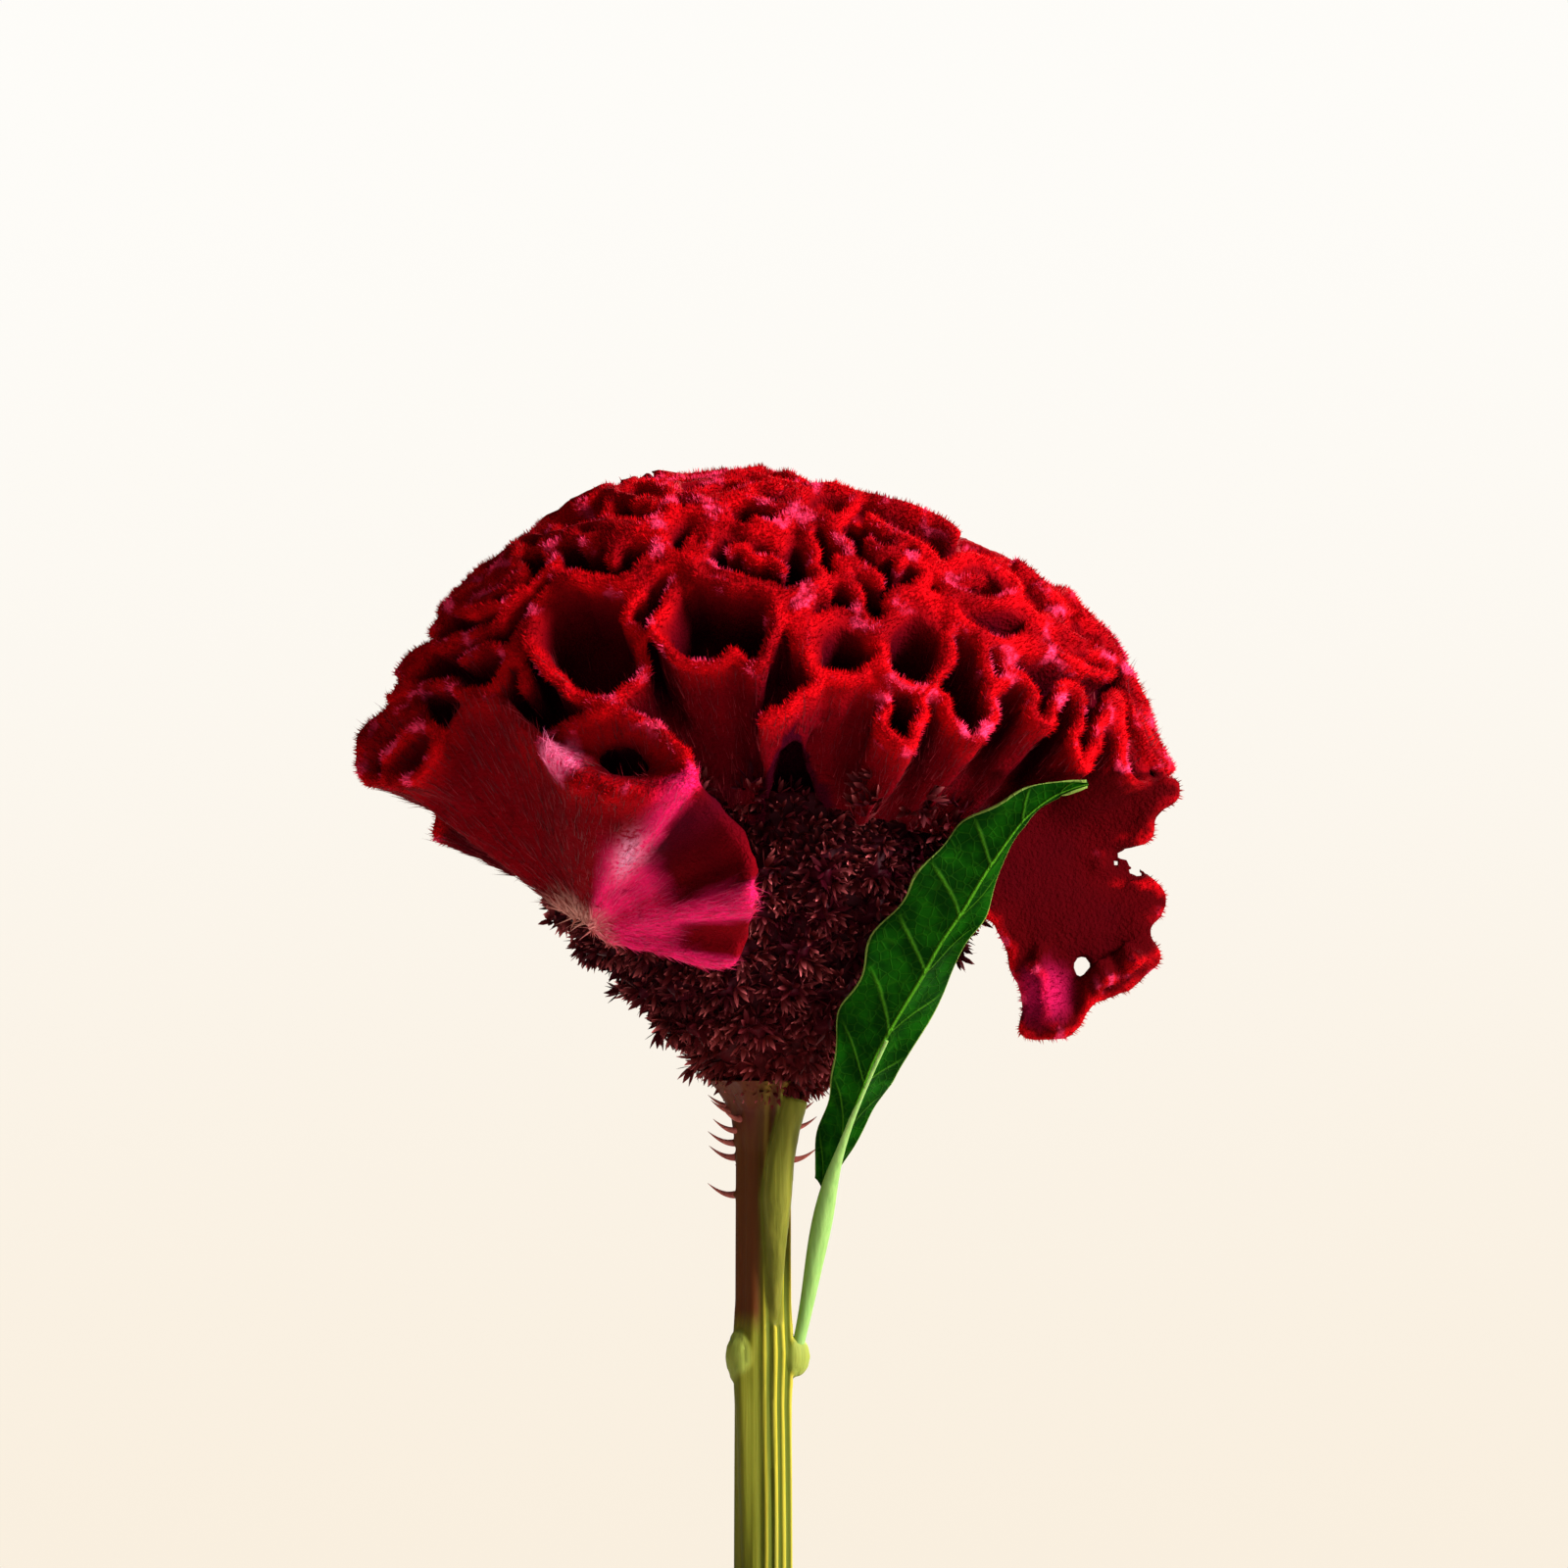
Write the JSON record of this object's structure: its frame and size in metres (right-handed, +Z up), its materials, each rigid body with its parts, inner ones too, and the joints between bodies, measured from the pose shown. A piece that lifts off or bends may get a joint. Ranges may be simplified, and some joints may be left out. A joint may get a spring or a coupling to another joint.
{
  "type": "potted crested celosia",
  "caption": "Crimson crested celosia (cockscomb): a broad ruffled velvet comb on a ribbed green stem with leaves, growing in a round terracotta pot of soil.",
  "frame": {"origin": "centre of the pot's underside, on the surface that the pot stands on", "axes": "+Z up along the stem, +X to the right of the plant seen from its front, +Y to its back"},
  "size_m": [0.13, 0.13, 0.3187],
  "materials": {
    "terracotta": "matte",
    "soil": "rough",
    "stem": "satin",
    "florets": "velvet",
    "crest": "velvet",
    "leaf": "satin"
  },
  "bodies": {
    "root": {"pot": "terracotta", "soil": "soil", "stem": "stem", "florets": "florets", "crest": "crest", "leaf_upper": "leaf", "leaf_lower_1": "leaf", "leaf_lower_2": "leaf", "leaf_lower_3": "leaf", "leaf_lower_4": "leaf", "leaf_lower_5": "leaf", "leaf_lower_6": "leaf"}
  },
  "joints": []
}
